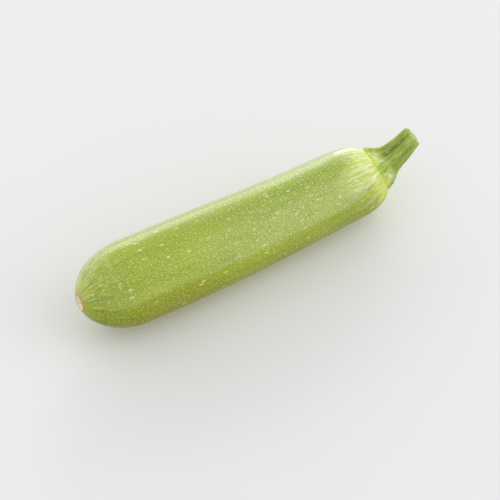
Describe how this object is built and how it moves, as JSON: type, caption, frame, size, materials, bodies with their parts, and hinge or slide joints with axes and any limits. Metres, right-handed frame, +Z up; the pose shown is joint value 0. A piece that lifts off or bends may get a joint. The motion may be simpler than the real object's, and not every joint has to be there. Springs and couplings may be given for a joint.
{
  "type": "zucchini",
  "caption": "Whole light green zucchini lying on its belly, slightly bowed, with a round blossom scar and a ridged, slant-cut stalk.",
  "frame": {"origin": "middle of the flat spot on the belly that the fruit rests on, straight under its weight", "axes": "+X along the fruit from its blossom end towards its stalk, +Z up, away from the surface that it lies on"},
  "size_m": [0.2099, 0.0462, 0.0463],
  "materials": {
    "skin": "satin",
    "stalk": "matte"
  },
  "bodies": {
    "root": {"fruit": "skin", "stem": "stalk"}
  },
  "joints": []
}
